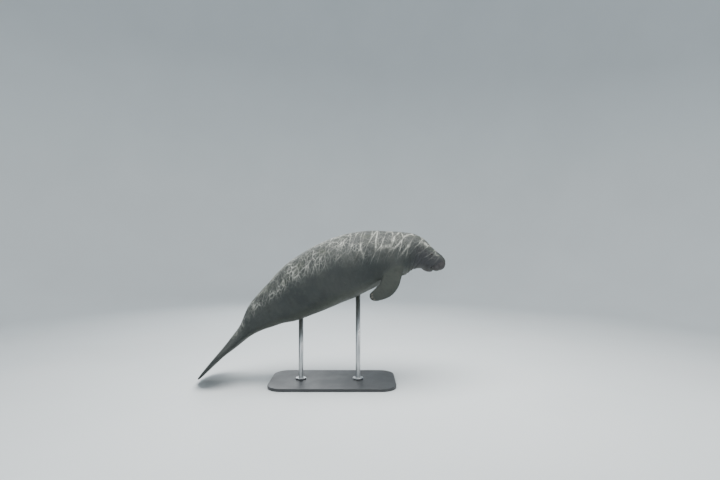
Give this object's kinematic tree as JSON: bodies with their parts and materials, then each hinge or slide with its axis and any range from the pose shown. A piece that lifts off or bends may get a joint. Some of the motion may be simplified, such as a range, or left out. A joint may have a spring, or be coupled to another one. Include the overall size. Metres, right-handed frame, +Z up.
{
  "type": "manatee model",
  "caption": "Still life-size model of a swimming manatee, tail low, with rounded paddle tail and bristly muzzle, held up by rods on a flat display base.",
  "frame": {"origin": "on the floor, under the middle of the whole model's box", "axes": "+X towards the head, +Y to the animal's left, +Z up"},
  "size_m": [2.4534, 0.6996, 1.5137],
  "materials": {
    "skin": "thick wrinkled grey hide, matt to satin, paler and worn along the back",
    "eye": "wet, glossy, almost black brown",
    "nail": "smooth horn, satin",
    "stand_base": "smooth dark grey paint, satin",
    "stand_rod": "brushed, satin"
  },
  "bodies": {
    "root": {"tail_paddle": "skin", "tail_stock": "skin", "loin": "skin", "belly": "skin", "chest": "skin", "neck": "skin", "head": "skin", "lower_jaw": "skin", "flipper_left": "skin", "flipper_right": "skin", "eye_left": "eye", "eye_right": "eye", "nail_left_1": "nail", "nail_left_2": "nail", "nail_left_3": "nail", "nail_right_1": "nail", "nail_right_2": "nail", "nail_right_3": "nail", "stand_base": "stand_base", "stand_rod_rear": "stand_rod", "stand_rod_front": "stand_rod"}
  },
  "joints": []
}
